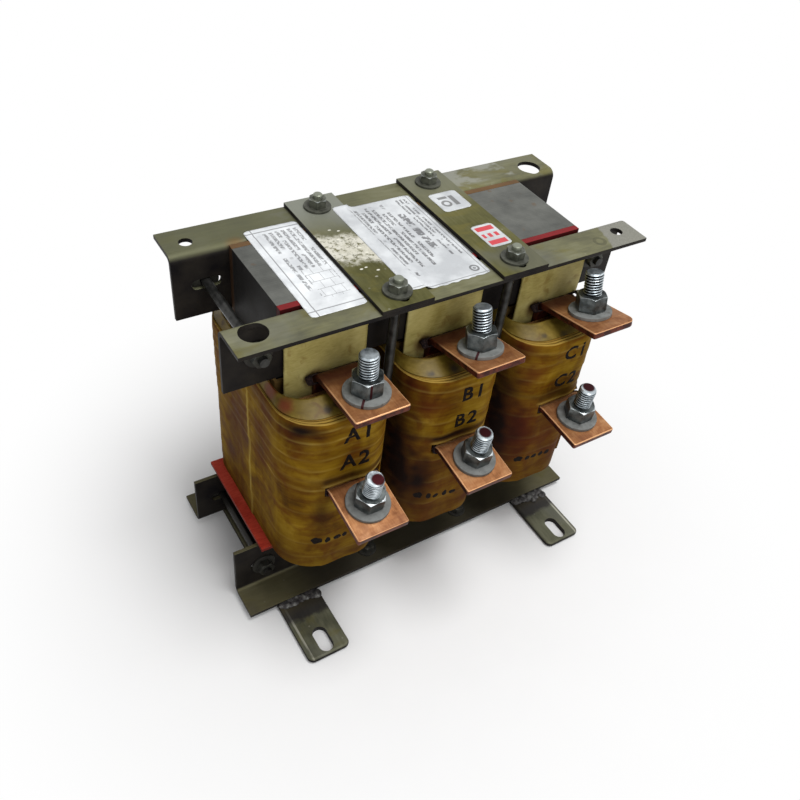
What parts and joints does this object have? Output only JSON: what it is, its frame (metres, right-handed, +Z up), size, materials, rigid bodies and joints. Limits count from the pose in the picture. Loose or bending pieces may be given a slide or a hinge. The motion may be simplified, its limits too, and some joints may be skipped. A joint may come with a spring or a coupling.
{
  "type": "three-phase line reactor",
  "caption": "Three-phase line reactor: laminated core between bent clamp angles, yellow wrapped foil coils, bent copper terminals with studs, slotted foot bars.",
  "frame": {"origin": "middle of the bounding box's base: on the floor under the feet, halfway along the core and halfway from the lower terminal tips to the rear strap ends", "axes": "+X along the row of coils to the viewer's right when facing the terminals, the terminals face -Y, +Z up"},
  "size_m": [0.3048, 0.1886, 0.2752],
  "materials": {
    "core_steel": "varnished electrical steel",
    "gap_sheet": "insulation sheet",
    "red_board": "red insulation board",
    "angle_steel": "varnished bare steel, worn",
    "strap_steel": "varnished bare steel, scuffed",
    "foot_steel": "varnished bare steel",
    "rod_zinc": "zinc plated",
    "small_hardware_zinc": "zinc plated",
    "small_washer_zinc": "zinc plated",
    "terminal_bolt_zinc": "zinc plated",
    "terminal_nut_zinc": "zinc plated",
    "terminal_washer_zinc": "dull zinc",
    "copper": "bare copper, lightly tarnished",
    "winding_foil": "wound foil with layer insulation",
    "coil_wrap": "varnished yellow insulation wrap",
    "collar_paper": "pale insulation paper",
    "panel_paper": "stiff insulation paper",
    "former_board": "pressed board",
    "sleeve_fabric": "dark varnished sleeve",
    "stick_board": "varnished spacer stick"
  },
  "bodies": {
    "root": {"core_lower_yoke": "core_steel", "core_upper_yoke": "core_steel", "core_leg_a": "core_steel", "core_leg_b": "core_steel", "core_leg_c": "core_steel", "gap_spacers": "gap_sheet", "lower_front_board": "red_board", "lower_rear_board": "red_board", "upper_front_board": "red_board", "upper_rear_board": "red_board", "coil_support_sheet": "red_board", "top_front_angle": "angle_steel", "top_rear_angle": "angle_steel", "bottom_front_angle": "angle_steel", "bottom_rear_angle": "angle_steel", "left_strap": "strap_steel", "right_strap": "strap_steel", "left_foot_bar": "foot_steel", "right_foot_bar": "foot_steel", "tie_bolts": "rod_zinc", "clamp_rods": "rod_zinc", "tie_nuts": "small_hardware_zinc", "clamp_nuts": "small_hardware_zinc", "tie_washers": "small_washer_zinc", "clamp_washers": "small_washer_zinc", "coil_a_former": "former_board", "coil_a_inner_winding": "winding_foil", "coil_a_outer_winding": "winding_foil", "coil_a_collar": "collar_paper", "coil_a_outer_wrap": "coil_wrap", "coil_a_barrier_panel": "panel_paper", "coil_a_upper_terminal": "copper", "coil_a_lower_terminal": "copper", "coil_b_former": "former_board", "coil_b_inner_winding": "winding_foil", "coil_b_outer_winding": "winding_foil", "coil_b_collar": "collar_paper", "coil_b_outer_wrap": "coil_wrap", "coil_b_barrier_panel": "panel_paper", "coil_b_upper_terminal": "copper", "coil_b_lower_terminal": "copper", "coil_c_former": "former_board", "coil_c_inner_winding": "winding_foil", "coil_c_outer_winding": "winding_foil", "coil_c_collar": "collar_paper", "coil_c_outer_wrap": "coil_wrap", "coil_c_barrier_panel": "panel_paper", "coil_c_upper_terminal": "copper", "coil_c_lower_terminal": "copper", "duct_sticks": "stick_board", "upper_lead_sleeves": "sleeve_fabric", "lower_lead_sleeves": "sleeve_fabric", "terminal_bolts": "terminal_bolt_zinc", "terminal_nuts": "terminal_nut_zinc", "terminal_washers": "terminal_washer_zinc"}
  },
  "joints": []
}
